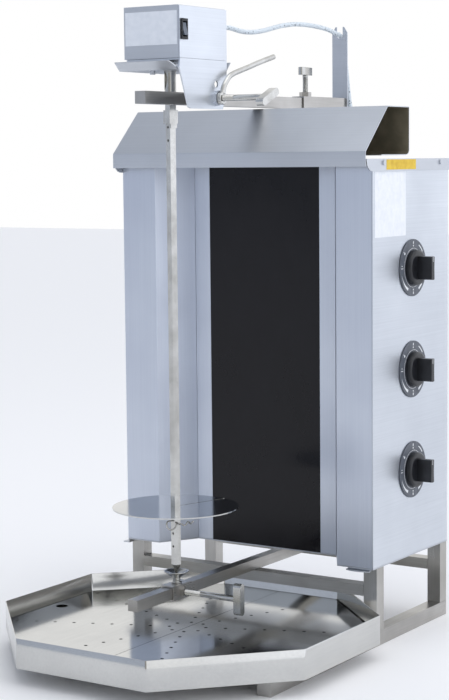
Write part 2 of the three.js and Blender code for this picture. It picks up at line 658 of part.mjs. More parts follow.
// A bent round lever whose eye turns on the bracket's clamp screw.
function lever() {
  const x = MOTOR_HALF + BRACKET_NUT + GAP;
  const z = UPPER_ARM_MID;
  const eye = rod("x", x, PIVOT_Y, z, 6, 8.5).subtract(rod("x", x - 1, PIVOT_Y, z, 8, SCREW_RADIUS + GAP));
  const middle = x + 3.5;
  const handle = wire([
    [middle, PIVOT_Y + 0, z + 6],
    [middle, PIVOT_Y + 2.5, z + 12],
    [middle, PIVOT_Y + 6, z + 18],
    [middle, PIVOT_Y + 16, z + 27.5],
    [middle, PIVOT_Y + 26, z + 32],
    [middle, PIVOT_Y + 38, z + 35.4],
    [middle, PIVOT_Y + 60, z + 41],
    [middle, PIVOT_Y + 92, z + 49.5],
    [middle, PIVOT_Y + 127, z + 58],
  ], 3.5, 24, 10);
  add("lever", eye.add(handle), "bright");
}

// ---------------------------------------------------------------- drive, spit and disc

// A square bar about the spit's axis, turned as the spit stands.
function squareBar(side, z0, z1) {
  const half = side / 2;
  return atSpit(block(-half, half, -half, half, z0, z1));
}

function atSpit(solid) {
  const turn = new THREE.Matrix4().makeRotationZ(SPIT_TURN);
  return moved(solid, new THREE.Matrix4().makeTranslation(0, SPIT_Y, 0).multiply(turn));
}

function drive() {
  const low = UPPER_ARM_MID - INNER_SIDE / 2;
  // Shaft: thick and slotted above the arm, slimmer through it, square below it.
  let shaft = rod("z", 0, SPIT_Y, UPPER_ARM_MID + INNER_SIDE / 2 + GAP, SHIELD_Z - UPPER_ARM_MID + 2, 7.5, 32);
  shaft = shaft.add(rod("z", 0, SPIT_Y, low - 0.45, 40, 6.8, 32));
  shaft = shaft.add(rod("z", 0, SPIT_Y, MOTOR_LOW - 8, 22, 4));
  shaft = shaft.add(squareBar(SHAFT_SIDE, SPIT_TOP + 3, low - 0.15));
  const slot = new THREE.Shape();
  slot.moveTo(-3.5, 772);
  slot.quadraticCurveTo(3, 771, 3, 762);
  slot.quadraticCurveTo(3, 754, -2, 748);
  slot.lineTo(-3.5, 748);
  const cut = new THREE.ExtrudeGeometry(slot, { depth: 6, bevelEnabled: false, curveSegments: 5 });
  cut.rotateX(Math.PI / 2).translate(0, -4, 0).rotateZ(SPIT_TURN).translate(0, SPIT_Y, 0);
  add("drive_shaft", shaft.subtract(toSolid(cut)), "bright");
  // Coupling: a square socket that lifts to let the spit's top out, with one longer lip.
  const socket = squareBar(COUPLING_SIDE, COUPLING_LOW, COUPLING_HIGH);
  const outside = COUPLING_SIDE / 2;
  const lip = atSpit(block(outside - 1.2, outside, -5, 5, COUPLING_LOW - 5.5, COUPLING_LOW + 1));
  const bore = squareBar(SHAFT_SIDE + 2 * GAP, COUPLING_LOW - 10, COUPLING_HIGH + 5);
  add("coupling", socket.add(lip).subtract(bore), "bright");
}

function spit() {
  let bar = squareBar(SPIT_SIDE, SPIT_TIP + 14, SPIT_TOP);
  const point = new THREE.ConeGeometry(SPIT_SIDE / Math.SQRT2, 14.4, 4);
  point.rotateX(-Math.PI / 2).rotateZ(Math.PI / 4).translate(0, 0, SPIT_TIP + 7.2);
  bar = bar.add(atSpit(toSolid(point)));
  for (const z of [150, 167.5, CLIP_HEIGHT, 683, 700]) {
    bar = bar.subtract(atSpit(rod("y", 0, -12, z, 24, 1.7, 12)));
  }
  add("spit", bar, "bright");
  // The disc has a square hub under it, which stands on the clip.
  let disc = rod("z", 0, SPIT_Y, DISC_LOW, DISC_THICK, DISC_RADIUS, 72);
  disc = disc.add(squareBar(17, CLIP_HEIGHT + 1 + GAP, DISC_LOW + 1));
  disc = disc.subtract(squareBar(SPIT_SIDE + 2 * GAP, CLIP_HEIGHT - 1, DISC_LOW + 5));
  disc = disc.subtract(atSpit(block(-1.2, 1.2, 4, DISC_RADIUS + 5, DISC_LOW - 0.5, DISC_LOW + 5)));
  add("meat_disc", disc, "bright");
  springClip();
}

// Spring clip under the disc: a straight leg through the bar, an eye, and a wavy leg beside it.
function springClip() {
  const z = CLIP_HEIGHT;
  const points = [[0, 34, z], [0, 10, z], [0, -4, z], [0, -9, z - 0.3]];
  for (let i = 0; i <= 6; i += 1) {
    const a = Math.PI / 2 - (i / 6) * 1.55 * Math.PI;
    points.push([(i / 6) * 9.5, -12 - 5.2 * Math.cos(a), z - 5.5 + 5.2 * Math.sin(a)]);
  }
  points.push([9.3, 0, z - 3.5], [9.3, 8, z - 7], [8.5, 14, z - 3], [6, 20, z - 7], [4.5, 26, z - 4.5]);
  add("spring_clip", atSpit(wire(points, 1, 48, 6)), "bright");
}

// ---------------------------------------------------------------- lower arm and bearing

function lowerArm() {
  const back = POST_BACK_Y + TUBE;
  const tube = squareTube("y", LOWER_ARM_FRONT, back, 0, LOWER_ARM_MID + GAP, ARM_IN, 1.5, ["low"]);
  add("lower_arm", tube, "tube");
  const z = LOWER_ARM_MID + GAP;
  let sleeve = squareTube("y", SPIT_Y - 21, SPIT_Y + 21, 0, z, TUBE, 2.1);
  sleeve = sleeve.add(nut("x", TUBE / 2 - 0.5, SPIT_Y, LOWER_ARM_MID, 6, 13, SCREW_RADIUS + GAP));
  sleeve = sleeve.subtract(rod("x", 4, SPIT_Y, LOWER_ARM_MID, 20, SCREW_RADIUS + GAP));
  add("bearing_sleeve", sleeve, "tube");
  // Bearing cup: a funnel on a short neck that the spit's point stands in.
  const seat = z + TUBE / 2 + GAP;
  add("bearing_cup", turned([
    [0, seat],
    [7, seat],
    [7, seat + 2],
    [4.9, seat + 2.5],
    [4.9, seat + 7.5],
    [9, seat + 9.5],
    [16.9, 116.2],
    [15.8, 116.9],
    [3.2, SPIT_TIP + 0.7],
    [0, SPIT_TIP - GAP],
  ], 0, SPIT_Y), "bright");
}

// ---------------------------------------------------------------- drip tray

const TRAY_LOW = TUBE + GAP;
const TRAY_RIM = 60;
const TRAY_SHEET = 1.2;
const TRAY_PLAN = [
  [-96, 138],
  [-238, 0],
  [-238, -194],
  [-100.5, -338.5],
  [100.5, -338.5],
  [238, -194],
  [238, 0],
  [96, 138],
];
const PLATE_TOP = 35;
const FINGER_HOLE = [217, -97];
const HOLES_Y = -101; // depth of the point that the rays of holes start from
const FIRST_HOLE = 25;
const HOLE_STEP = 26.5;
const HOLE_RADIUS = 2.5;

function dripTray() {
  let tray = raised(outline(TRAY_PLAN), TRAY_LOW, TRAY_RIM);
  tray = tray.subtract(raised(outline(inset(TRAY_PLAN, TRAY_SHEET)), TRAY_LOW + TRAY_SHEET, TRAY_RIM + 1));
  add("drip_tray", tray, "bright");
  for (const [side, s] of SIDES) strainerPlate(side, s);
}

// One half of the strainer: a flat plate on short feet, drilled in rays round the spit.
function strainerPlate(side, s) {
  const inner = inset(TRAY_PLAN, TRAY_SHEET + 3);
  const cover = outline(inner);
  const half = block(...[s * 0.4, s * 300].sort((a, b) => a - b), -400, 300, 0, 100);
  let plate = raised(cover, PLATE_TOP - 1, PLATE_TOP).intersect(half);
  for (const [x, y] of STRAINER_FEET) {
    plate = plate.add(rod("z", s * x, y, TRAY_LOW + TRAY_SHEET + GAP, PLATE_TOP - TRAY_LOW - 2, 4, 12));
  }
  // Each plate has four rays of holes: long ones towards the side, short ones to front and back.
  for (const [degrees, count] of [[-67.5, 6], [-22.5, 9], [22.5, 9], [67.5, 6]]) {
    const a = THREE.MathUtils.degToRad(degrees);
    for (let k = 0; k < count; k += 1) {
      const r = FIRST_HOLE + k * HOLE_STEP;
      const x = s * r * Math.cos(a);
      const y = HOLES_Y + r * Math.sin(a);
      plate = plate.subtract(rod("z", x, y, PLATE_TOP - 3, 5, HOLE_RADIUS, 8));
    }
  }
  const [fx, fy] = FINGER_HOLE;
  plate = plate.subtract(rod("z", s * fx, fy, PLATE_TOP - 3, 5, 8.5));
  add(`strainer_plate_${side}`, plate, "bright");
}

const STRAINER_FEET = [
  [14, -300],
  [14, 100],
  [205, -60],
  [90, -300],
];

// ---------------------------------------------------------------- cable

// From the motor's back over the upright's notch, down behind it and into the heater's back.
const CABLE_ROUTE = [
  [0, MOTOR_BACK - 2, MOTOR_GLAND_Z],
  [0, MOTOR_BACK + 14, MOTOR_GLAND_Z + 0.5],
  [0, -25, 829],
  [0, 10, 834.5],
  [0, 45, 831.5],
  [0, 70, 831.5],
  [0, 100, 835],
  [0, 150, 844.5],
  [0, 190, 849],
  [0, 235, 849.5],
  [0, 280, 846.5],
  [0, 305, 842],
  [0, 320, 839],
  [1, 326, 832],
  [3, 327, 812],
  [6, 327, 785],
  [9, 327, 758],
  [12, 327, 736],
  [20, 327, 700],
  [33, 322, 650],
  [44, 312, 608],
  [51, 300, 580],
  [55, 288, 566],
  [CABLE_ENTRY[0], 278, CABLE_ENTRY[1]],
  [CABLE_ENTRY[0], BODY_BACK - 2, CABLE_ENTRY[1]],
];

function cable() {
  add("motor_cable", wire(CABLE_ROUTE, CABLE_RADIUS, 56, 8), "cable");
  cableBushing("cable_gland", CABLE_ENTRY[0], BODY_BACK, CABLE_ENTRY[1], 6, -4, 7);
  const [x, z] = MAINS_ENTRY;
  let gland = rod("y", x, BODY_BACK - 4, z, 26, 8);
  gland = gland.add(rod("y", x, BODY_BACK + GAP, z, 6, 12, 6));
  add("mains_gland", gland.subtract(rod("y", x, BODY_BACK - 5, z, 30, 4.2)), "black");
}

baseFrame();
heaterBody();
hood();
knobs();
upright();
upperArm();
clampScrews();
motorUnit();
lever();
drive();
spit();
lowerArm();
dripTray();
cable();

export default group;
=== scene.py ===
"""Upright kebab grill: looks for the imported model. Metres, in the model's own frame."""

import math

import bmesh
import bpy
from mathutils import Matrix, Vector


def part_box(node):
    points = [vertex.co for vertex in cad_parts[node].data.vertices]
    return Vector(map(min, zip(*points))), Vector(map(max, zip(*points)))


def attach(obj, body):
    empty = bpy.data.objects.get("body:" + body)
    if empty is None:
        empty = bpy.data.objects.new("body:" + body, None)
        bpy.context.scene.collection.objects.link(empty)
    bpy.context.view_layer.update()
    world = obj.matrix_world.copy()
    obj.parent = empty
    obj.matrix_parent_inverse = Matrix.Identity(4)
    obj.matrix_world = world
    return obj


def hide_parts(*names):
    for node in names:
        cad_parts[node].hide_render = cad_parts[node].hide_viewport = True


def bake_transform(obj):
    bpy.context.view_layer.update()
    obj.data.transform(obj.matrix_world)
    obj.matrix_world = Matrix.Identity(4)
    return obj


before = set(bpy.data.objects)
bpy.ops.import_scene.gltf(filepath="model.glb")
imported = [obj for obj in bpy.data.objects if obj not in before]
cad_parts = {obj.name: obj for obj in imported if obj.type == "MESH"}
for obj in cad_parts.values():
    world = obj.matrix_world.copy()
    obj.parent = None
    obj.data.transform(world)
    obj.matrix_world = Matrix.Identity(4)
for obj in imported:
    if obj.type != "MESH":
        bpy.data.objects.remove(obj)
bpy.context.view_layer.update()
MM = 0.001

# ------------------------------------------------------------------ camera

LENS = 93.6
CAMERA_AT = Vector((1.3504, -2.0725, 0.6586))
YAW = math.radians(33.14)
PITCH = math.radians(5.99)
ROLL = math.radians(-0.55)


def make_camera():
    data = bpy.data.cameras.new("camera")
    data.lens = LENS
    data.clip_end = 20
    camera = bpy.data.objects.new("camera", data)
    bpy.context.scene.collection.objects.link(camera)
    level = Vector((-math.sin(YAW), math.cos(YAW), 0))
    up = Vector((0, 0, 1))
    forward = level * math.cos(PITCH) - up * math.sin(PITCH)
    tilted_up = up * math.cos(PITCH) + level * math.sin(PITCH)
    right = Vector((math.cos(YAW), math.sin(YAW), 0))
    side = right * math.cos(ROLL) + tilted_up * math.sin(ROLL)
    top = tilted_up * math.cos(ROLL) - right * math.sin(ROLL)
    turn = Matrix((side, top, -forward)).transposed()
    camera.matrix_world = Matrix.Translation(CAMERA_AT) @ turn.to_4x4()
    bpy.context.scene.camera = camera


make_camera()

# ------------------------------------------------------------------ material tools


def colour(hex_value):
    """An sRGB hex colour as linear RGBA."""
    parts = [int(hex_value[i:i + 2], 16) / 255 for i in (1, 3, 5)]
    linear = [c / 12.92 if c <= 0.04045 else ((c + 0.055) / 1.055) ** 2.4 for c in parts]
    return (*linear, 1.0)


def add(tree, kind, settings=None, links=None):
    """Adds one node, sets its properties and input values, and joins its inputs."""
    node = tree.nodes.new(kind)
    for name, value in (settings or {}).items():
        if isinstance(name, int) or name in node.inputs:
            node.inputs[name].default_value = value
        else:
            setattr(node, name, value)
    for name, source in (links or {}).items():
        tree.links.new(source, node.inputs[name])
    return node


def new_material(name, shader):
    """A material with one Principled shader, whose plain values are given."""
    material = bpy.data.materials.new(name)
    material.use_nodes = True
    tree = material.node_tree
    surface = tree.nodes["Principled BSDF"]
    for socket, value in shader.items():
        surface.inputs[socket].default_value = value
    return material, tree, surface


def place(tree, scale):
    """Places in the model's frame, in metres, times a scale along each axis."""
    at = add(tree, "ShaderNodeTexCoord")
    return add(tree, "ShaderNodeMapping", {"Scale": scale}, {"Vector": at.outputs["Object"]}).outputs[0]


def per_metre(*millimetres):
    """Pattern steps in millimetres as a mapping scale."""
    return tuple(1 / (m * MM) for m in millimetres)


def two_tone(tree, factor, dark, light):
    """A mix of two colours by a factor."""
    mix = add(tree, "ShaderNodeMix", {"data_type": "RGBA", 6: colour(dark), 7: colour(light)}, {0: factor})
    return mix.outputs[2]


def between(tree, value, low, high, new_low, new_high):
    """A value moved from one range to another, and held inside it."""
    limits = {"From Min": low, "From Max": high, "To Min": new_low, "To Max": new_high}
    return add(tree, "ShaderNodeMapRange", limits, {"Value": value}).outputs[0]


def relief(tree, surface, height, depth_mm, strength=1.0):
    """Small relief on the surface."""
    settings = {"Strength": strength, "Distance": depth_mm * MM}
    bump = add(tree, "ShaderNodeBump", settings, {"Height": height})
    tree.links.new(bump.outputs[0], surface.inputs["Normal"])


def steel(name, dark, light, grain, roughness, smudge_mm=120):
    """Stainless steel. grain gives the grain's step in millimetres along X, Y and Z."""
    material, tree, surface = new_material(name, {"Metallic": 1.0})
    lines = add(tree, "ShaderNodeTexNoise", {"Scale": 1.0, "Detail": 2.0},
                {"Vector": place(tree, per_metre(*grain))}).outputs[0]
    hand = add(tree, "ShaderNodeTexNoise", {"Scale": 1.0, "Detail": 3.0, "Roughness": 0.5},
               {"Vector": place(tree, per_metre(smudge_mm, smudge_mm, smudge_mm))}).outputs[0]
    shade = add(tree, "ShaderNodeMath", {"operation": "MULTIPLY_ADD", 1: 0.5}, {0: lines, 2: hand}).outputs[0]
    tone = between(tree, shade, 0.5, 1.0, 0.0, 1.0)
    tree.links.new(two_tone(tree, tone, dark, light), surface.inputs["Base Color"])
    dull = between(tree, shade, 0.5, 1.0, roughness * 1.12, roughness * 0.9)
    tree.links.new(dull, surface.inputs["Roughness"])
    relief(tree, surface, lines, 0.01, 0.15)
    return material


# ------------------------------------------------------------------ materials

# Cold-rolled stainless sheet, satin: a soft cool grey with fine upright grain left by the rolls.
# The grain is about 0.1 mm on the real sheet and is drawn 1.2 mm wide so that it shows.
SATIN_SHEET = steel("satin_stainless_sheet", "#c6ccd8", "#d0d6e0", (1.2, 1.2, 160), 0.32)

# The same sheet with its grain lying level, as on the hood, lid and motor cover.
LEVEL_SHEET = steel("level_grain_stainless_sheet", "#c3c7cd", "#cdd1d7", (160, 1.2, 1.2), 0.42)

# Stainless sheet on the knob side, brushed along its length. Its colour is paler than the other sheet as
# painted light, for the brighter light that falls on that side.
LIT_SIDE_SHEET = steel("brushed_stainless_side_painted_lit", "#ccd1d8", "#d8dde4", (1.5, 150, 1.5), 0.36)

# Drawn square stainless tube: warmer and darker than sheet, with draw marks along the tube.
DRAWN_TUBE = steel("drawn_stainless_tube", "#a5a39f", "#bab8b5", (0.9, 70, 0.9), 0.30, 60)
DRAWN_TUBE_CROSS = steel("drawn_stainless_cross_tube", "#a3a19c", "#bab8b4", (70, 0.9, 0.9), 0.30, 60)
DRAWN_TUBE_UPRIGHT = steel("drawn_stainless_post", "#a3a19c", "#bab8b4", (0.9, 0.9, 70), 0.30, 60)

# Mirror-rolled stainless tray: nearly a mirror, with a few soft wiping marks.
MIRROR_SHEET = steel("mirror_rolled_stainless", "#c3c3c1", "#d0d0cd", (3, 60, 3), 0.11, 90)

# Bright-turned stainless screws, bars and shafts: fine turning marks and a sharp shine.
BRIGHT_BAR = steel("bright_turned_stainless", "#b1b0ac", "#d0d0cd", (0.8, 0.8, 0.8), 0.20, 20)


def heat_tint_and_shade_steel():
    """Stainless that has been hot for years: straw to brown and dull, in soft clouds about 40 mm across. Its
    colour is also darker than the sheet outside, as painted shade for the hood's shaded inside.
    """
    material, tree, surface = new_material("heat_tinted_stainless_painted_shade", {"Metallic": 0.5})
    clouds = add(tree, "ShaderNodeTexNoise", {"Scale": 1.0, "Detail": 4.0},
                 {"Vector": place(tree, per_metre(40, 40, 40))}).outputs[0]
    tone = between(tree, clouds, 0.35, 0.68, 0.0, 1.0)
    tree.links.new(two_tone(tree, tone, "#7d7767", "#a39c88"), surface.inputs["Base Color"])
    tree.links.new(between(tree, clouds, 0.3, 0.7, 0.5, 0.32), surface.inputs["Roughness"])
    relief(tree, surface, clouds, 0.1, 0.3)
    return material


def ceramic_glass():
    """Dark ceramic glass in front of the heaters: smooth and black, with a faint film of grease."""
    material, tree, surface = new_material("black_ceramic_glass", {"IOR": 1.5, "Specular IOR Level": 0.25})
    film = add(tree, "ShaderNodeTexNoise", {"Scale": 1.0, "Detail": 5.0, "Roughness": 0.6},
               {"Vector": place(tree, per_metre(60, 60, 110))}).outputs[0]
    tree.links.new(two_tone(tree, between(tree, film, 0.35, 0.7, 0.0, 1.0), "#131216", "#19181c"),
                   surface.inputs["Base Color"])
    tree.links.new(between(tree, film, 0.35, 0.7, 0.12, 0.24), surface.inputs["Roughness"])
    return material


def moulded_plastic(name, dark, light, roughness):
    """Moulded heat-proof plastic: a fine spark-eroded grain of about 0.6 mm that softens the shine."""
    material, tree, surface = new_material(name, {"IOR": 1.5})
    grain = add(tree, "ShaderNodeTexNoise", {"Scale": 1.0, "Detail": 3.0},
                {"Vector": place(tree, per_metre(0.6, 0.6, 0.6))}).outputs[0]
    wear = add(tree, "ShaderNodeTexNoise", {"Scale": 1.0, "Detail": 2.0},
               {"Vector": place(tree, per_metre(18, 18, 18))}).outputs[0]
    tree.links.new(two_tone(tree, between(tree, wear, 0.3, 0.7, 0.0, 1.0), dark, light),
                   surface.inputs["Base Color"])
    dull = between(tree, wear, 0.3, 0.7, roughness * 1.2, roughness * 0.85)
    tree.links.new(dull, surface.inputs["Roughness"])
    relief(tree, surface, grain, 0.04, 0.35)
    return material


def printed_sheet(name, dark, light, roughness):
    """A printed film or label: flat colour with a faint unevenness of the ink, about 8 mm across."""
    material, tree, surface = new_material(name, {"IOR": 1.46})
    ink = add(tree, "ShaderNodeTexNoise", {"Scale": 1.0, "Detail": 3.0},
              {"Vector": place(tree, per_metre(8, 8, 8))}).outputs[0]
    tree.links.new(two_tone(tree, between(tree, ink, 0.3, 0.7, 0.0, 1.0), dark, light),
                   surface.inputs["Base Color"])
    tree.links.new(between(tree, ink, 0.3, 0.7, roughness * 1.1, roughness * 0.9), surface.inputs["Roughness"])
    return material


def rough_mineral(name, dark, light, grain_mm):
    """A pressed or fired mineral with an open grain: quite dull."""
    material, tree, surface = new_material(name, {"Roughness": 0.9})
    grain = add(tree, "ShaderNodeTexNoise", {"Scale": 1.0, "Detail": 6.0},
                {"Vector": place(tree, per_metre(grain_mm, grain_mm, grain_mm))}).outputs[0]
    tree.links.new(two_tone(tree, between(tree, grain, 0.3, 0.7, 0.0, 1.0), dark, light),
                   surface.inputs["Base Color"])
    relief(tree, surface, grain, 0.3, 0.5)
    return material


HOT_STEEL_AND_SHADE = heat_tint_and_shade_steel()
GLASS = ceramic_glass()
KNOB_PLASTIC = moulded_plastic("black_phenolic", "#121317", "#1f2126", 0.33)
GLAND_RUBBER = moulded_plastic("black_nylon_gland", "#15161a", "#24262a", 0.5)
ROCKER_PLASTIC = moulded_plastic("smoke_grey_polycarbonate", "#4a525f", "#66707e", 0.22)
DIAL_FILM = printed_sheet("grey_dial_print", "#4c515a", "#5b606a", 0.42)
DIAL_INK = printed_sheet("white_dial_ink", "#d9dcdf", "#eceeef", 0.5)
LABEL_WHITE = printed_sheet("white_label_film", "#dde3ec", "#e6ebf3", 0.35)
LABEL_PAPER = printed_sheet("white_paper_sheet", "#e4e8ee", "#eef1f5", 0.7)
LABEL_YELLOW = printed_sheet("yellow_label_film", "#d0a91c", "#e3c22e", 0.45)
CERAMIC = rough_mineral("ribbed_heater_ceramic", "#7d776a", "#9d9788", 3)
BOARD = rough_mineral("pressed_fibre_board", "#c9c3b4", "#ddd8ca", 5)
CASTING = rough_mineral("sand_cast_gear_case", "#55585b", "#74777a", 2)


def braided_sleeve():
    """Heat-proof braided glass-fibre sleeve: pale threads crossing, with a thin dark tracer thread.

    A real thread is 0.4 mm wide and is drawn 1.3 mm wide so that the braid shows.
    """
    material, tree, surface = new_material("braided_glass_fibre", {"Roughness": 0.75, "Sheen Weight": 0.3})
    along = add(tree, "ShaderNodeUVMap", {"uv_map": "sleeve"}).outputs[0]
    crossed = []
    for sign in (1, -1):
        turned = add(tree, "ShaderNodeMapping", {"Rotation": (0, 0, sign * math.pi / 4), "Scale": (1, 1, 1)},
                     {"Vector": along}).outputs[0]
        crossed.append(add(tree, "ShaderNodeTexWave", {"Scale": 0.24, "Distortion": 0.6, "Detail": 1.0},
                           {"Vector": turned}).outputs[1])
    threads = add(tree, "ShaderNodeMath", {"operation": "MAXIMUM"}, {0: crossed[0], 1: crossed[1]}).outputs[0]
    flecks = add(tree, "ShaderNodeTexVoronoi", {"Scale": 0.22}, {"Vector": along}).outputs[0]
    fleck = between(tree, flecks, 0.16, 0.24, 0.0, 1.0)
    body = two_tone(tree, threads, "#9fb2c4", "#e9f1f6")
    mix = add(tree, "ShaderNodeMix", {"data_type": "RGBA", 6: colour("#333b46")}, {0: fleck, 7: body})
    tree.links.new(mix.outputs[2], surface.inputs["Base Color"])
    relief(tree, surface, threads, 0.4, 0.7)
    return material


BRAID = braided_sleeve()

# ------------------------------------------------------------------ mesh tools


def finish_piece(name, mesh, material, body, stands_for=(), smooth=35):
    """Puts a finished mesh in the scene on its body."""
    mesh.materials.append(material)
    mesh.shade_smooth()
    mesh.set_sharp_from_angle(angle=math.radians(smooth))
    piece = bpy.data.objects.new(name, mesh)
    bpy.context.scene.collection.objects.link(piece)
    if body:
        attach(piece, body)
    if stands_for:
        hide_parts(*stands_for)
    return piece


def from_bmesh(name, shape):
    """A bmesh with its faces turned outwards, as a mesh."""
    bmesh.ops.recalc_face_normals(shape, faces=shape.faces)
    mesh = bpy.data.meshes.new(name)
    shape.to_mesh(mesh)
    shape.free()
    return mesh


def axes_to(axis):
    """The turn that takes a piece made along +Z to another axis letter, keeping it right-handed."""
    turns = {"z": Matrix.Identity(4), "x": Matrix.Rotation(math.pi / 2, 4, "Y"),
             "y": Matrix.Rotation(-math.pi / 2, 4, "X")}
    return turns[axis]


def loft(rings, shape=None, closed=True, capped=True):
    """Joins rings of points, given in order, into one skin with its ends closed."""
    shape = shape or bmesh.new()
    rows = [[shape.verts.new(p) for p in ring] for ring in rings]
    for low, high in zip(rows, rows[1:]):
        count = len(low)
        for i in range(count if closed else count - 1):
            j = (i + 1) % count
            shape.faces.new((low[i], low[j], high[j], high[i]))
    if capped:
        shape.faces.new(list(reversed(rows[0])))
        shape.faces.new(rows[-1])
    return shape


def circle(radius, height, sides=48, squash=1.0, turn=0.0):
    step = 2 * math.pi / sides
    return [Vector((radius * math.cos(turn + i * step), squash * radius * math.sin(turn + i * step), height))
            for i in range(sides)]


def turned(profile, axis, at, sides=48, shape=None):
    """A turned piece: (radius, height) pairs along an axis letter from a point, all in millimetres."""
    matrix = Matrix.Translation(Vector(at) * MM) @ axes_to(axis)
    rings = [[matrix @ (p * MM) for p in circle(radius, height, sides)] for radius, height in profile]
    return loft(rings, shape)


def slab(outline, low, high, axis, at, edge=0.6, shape=None, turn=0.0, steps=2):
    """A flat piece with an outline in millimetres, thick from low to high, with soft edges."""
    matrix = Matrix.Translation(Vector(at) * MM) @ axes_to(axis) @ Matrix.Rotation(turn, 4, "Z")
    part = bmesh.new()
    rings = [[matrix @ (Vector((a, b, h)) * MM) for a, b in outline] for h in (low, high)]
    loft(rings, part)
    if edge:
        flat = [e for e in part.edges if e.calc_face_angle(0) > math.radians(28)]
        bmesh.ops.bevel(part, geom=flat, offset=edge * MM, segments=steps, affect="EDGES", profile=0.6)
    if shape is None:
        return part
    copy = bpy.data.meshes.new("part")
    part.to_mesh(copy)
    part.free()
    shape.from_mesh(copy)
    bpy.data.meshes.remove(copy)
    return shape


def rectangle(a0, a1, b0, b1):
    return [(a0, b0), (a1, b0), (a1, b1), (a0, b1)]


def stadium(length, width, sides=10):
    """The outline of a flat bar with round ends, lying along the second direction."""
    straight = (length - width) / 2
    points = []
    for i in range(sides + 1):
        a = math.pi * i / sides
        points.append((width / 2 * math.cos(a), straight + width / 2 * math.sin(a)))
    for i in range(sides + 1):
        a = math.pi + math.pi * i / sides
        points.append((width / 2 * math.cos(a), -straight + width / 2 * math.sin(a)))
    return points


def smooth_path(points, steps):
    """A smooth line through points, with a number of steps in each span (centripetal Catmull-Rom)."""
    points = [Vector(p) for p in points]
    ends = [2 * points[0] - points[1], *points, 2 * points[-1] - points[-2]]
    line = []
    for a, b, c, d in zip(ends, ends[1:], ends[2:], ends[3:]):
        t1 = max((b - a).length, 1e-9) ** 0.5
        t2 = t1 + max((c - b).length, 1e-9) ** 0.5
        t3 = t2 + max((d - c).length, 1e-9) ** 0.5
        for i in range(steps):
            t = t1 + (t2 - t1) * i / steps
            ab = a * ((t1 - t) / t1) + b * (t / t1)
            bc = b * ((t2 - t) / (t2 - t1)) + c * ((t - t1) / (t2 - t1))
            cd = c * ((t3 - t) / (t3 - t2)) + d * ((t - t2) / (t3 - t2))
            abc = ab * ((t2 - t) / t2) + bc * (t / t2)
            bcd = bc * ((t3 - t) / (t3 - t1)) + cd * ((t - t1) / (t3 - t1))
            line.append(abc * ((t2 - t) / (t2 - t1)) + bcd * ((t - t1) / (t2 - t1)))
    line.append(points[-1])
    return line


def swept(line, radius, sides=16, uv=False):
    """A round bar along a line of points in metres. With uv, it is mapped in millimetres round and along."""
    shape = bmesh.new()
    side = None
    rows = []
    lengths = [0.0]
    for i, point in enumerate(line):
        ahead = (line[min(i + 1, len(line) - 1)] - line[max(i - 1, 0)]).normalized()
        side = side or ahead.orthogonal().normalized()
        side = (side - ahead * side.dot(ahead)).normalized()
        across = ahead.cross(side)
        step = 2 * math.pi / sides
        rows.append([shape.verts.new(point + radius * (math.cos(k * step) * side + math.sin(k * step) * across))
                     for k in range(sides)])
        if i:
            lengths.append(lengths[-1] + (point - line[i - 1]).length)
    layer = shape.loops.layers.uv.new("sleeve") if uv else None
    for i, (low, high) in enumerate(zip(rows, rows[1:])):
        for k in range(sides):
            n = (k + 1) % sides
            face = shape.faces.new((low[k], low[n], high[n], high[k]))
            if uv:
                around = 2 * math.pi * radius / MM / sides
                corners = ((k, i), (k + 1, i), (k + 1, i + 1), (k, i + 1))
                for loop, (a, b) in zip(face.loops, corners):
                    loop[layer].uv = (a * around, lengths[b] / MM)
    shape.faces.new(list(reversed(rows[0])))
    shape.faces.new(rows[-1])
    return shape


# ------------------------------------------------------------------ motor cable

CABLE_RADIUS = 3.25 * MM
CABLE_ROUTE = [
    (0, -0.06, 0.826),
    (0, -0.044, 0.8265),
    (0, -0.025, 0.829),
    (0, 0.01, 0.8345),
    (0, 0.045, 0.8315),
    (0, 0.07, 0.8315),
    (0, 0.1, 0.835),
    (0, 0.15, 0.8445),
    (0, 0.19, 0.849),
    (0, 0.235, 0.8495),
    (0, 0.28, 0.8465),
    (0, 0.305, 0.842),
    (0, 0.32, 0.839),
    (0.001, 0.326, 0.832),
    (0.003, 0.327, 0.812),
    (0.006, 0.327, 0.785),
    (0.009, 0.327, 0.758),
    (0.012, 0.327, 0.736),
    (0.02, 0.327, 0.7),
    (0.033, 0.322, 0.65),
    (0.044, 0.312, 0.608),
    (0.051, 0.3, 0.58),
    (0.055, 0.288, 0.566),
    (0.056, 0.278, 0.56),
    (0.056, 0.266, 0.56),
]


def motor_cable():
    line = smooth_path(CABLE_ROUTE, 8)
    mesh = from_bmesh("motor_cable_braid", swept(line, CABLE_RADIUS, 20, uv=True))
    piece = finish_piece("motor_cable_braid", mesh, BRAID, None, ["motor_cable"], 60)
    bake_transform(piece)


motor_cable()

# ------------------------------------------------------------------ finishes on the model's own parts

PLAIN_PARTS = {
    SATIN_SHEET: ["wing_left", "wing_right", "glass_trim_left", "glass_trim_right", "back_panel"],
    # The knob side's sheet is drawn paler as painted light.
    LIT_SIDE_SHEET: ["knob_panel", "motor_side", "motor_bracket"],
    LEVEL_SHEET: ["lid", "base_panel", "grease_shield", "motor_cover", "upright"],
    DRAWN_TUBE: ["rail_left", "rail_right", "upper_tube", "upper_arm", "lower_arm", "bearing_sleeve"],
    DRAWN_TUBE_CROSS: ["cross_tube_front", "cross_tube_rear"],
    DRAWN_TUBE_UPRIGHT: ["post_front_left", "post_front_right", "post_rear_left", "post_rear_right"],
    MIRROR_SHEET: ["strainer_plate_left", "strainer_plate_right"],
    BRIGHT_BAR: ["spit", "drive_shaft", "coupling"],
    GLASS: ["glass_panel"],
    CERAMIC: ["radiant_heater_1", "radiant_heater_2", "radiant_heater_3"],
    BOARD: ["insulation_board"],
    CASTING: ["gear_motor"],
    GLAND_RUBBER: ["switch_frame", "heat_regulator_1", "heat_regulator_2", "heat_regulator_3"],
    ROCKER_PLASTIC: ["switch_rocker"],
}
